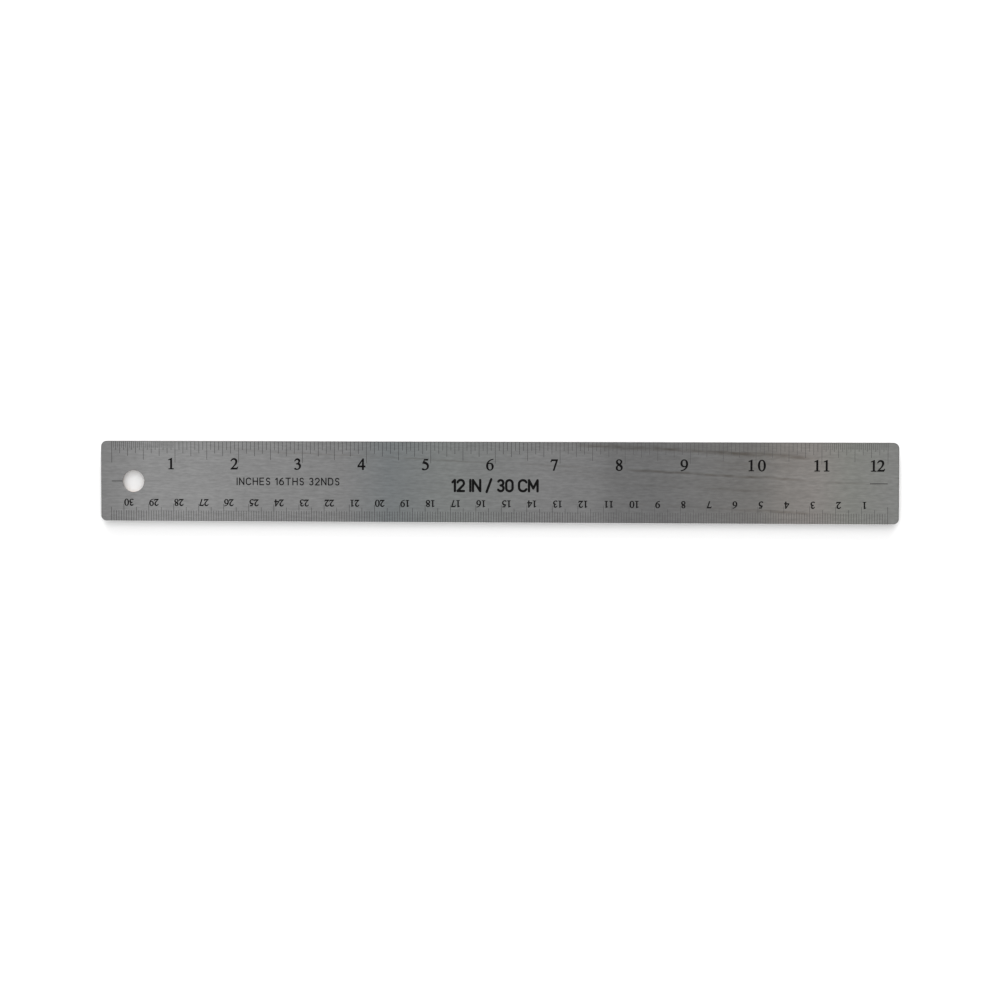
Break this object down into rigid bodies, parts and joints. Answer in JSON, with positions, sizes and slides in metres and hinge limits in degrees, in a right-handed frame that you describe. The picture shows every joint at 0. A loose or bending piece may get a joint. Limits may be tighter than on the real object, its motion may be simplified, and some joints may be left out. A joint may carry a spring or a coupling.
{
  "type": "steel ruler",
  "caption": "Flat stainless steel straightedge with inch and metric graduations, a hanging hole and a cork non-slip backing.",
  "frame": {"origin": "centre of the cork's underside, the face that the ruler lies on", "axes": "+X along the blade from the hanging hole to the 12 inch end, +Y across it to the inch edge, +Z out of the marked face"},
  "size_m": [0.3134, 0.0318, 0.0021],
  "materials": {
    "stainless_steel": "satin",
    "black_enamel": "satin",
    "adhesive": "satin",
    "cork": "matte"
  },
  "bodies": {
    "root": {"steel_blade": "stainless_steel", "adhesive_film": "adhesive", "cork_backing": "cork", "inch_lines": "black_enamel", "half_inch_lines": "black_enamel", "quarter_inch_lines": "black_enamel", "eighth_inch_lines": "black_enamel", "sixteenth_inch_lines": "black_enamel", "thirtysecond_inch_lines": "black_enamel", "centimetre_lines": "black_enamel", "half_centimetre_lines": "black_enamel", "millimetre_lines": "black_enamel", "centre_lines": "black_enamel", "inch_numerals": "black_enamel", "centimetre_numerals": "black_enamel", "graduation_label": "black_enamel", "length_label": "black_enamel"}
  },
  "joints": []
}
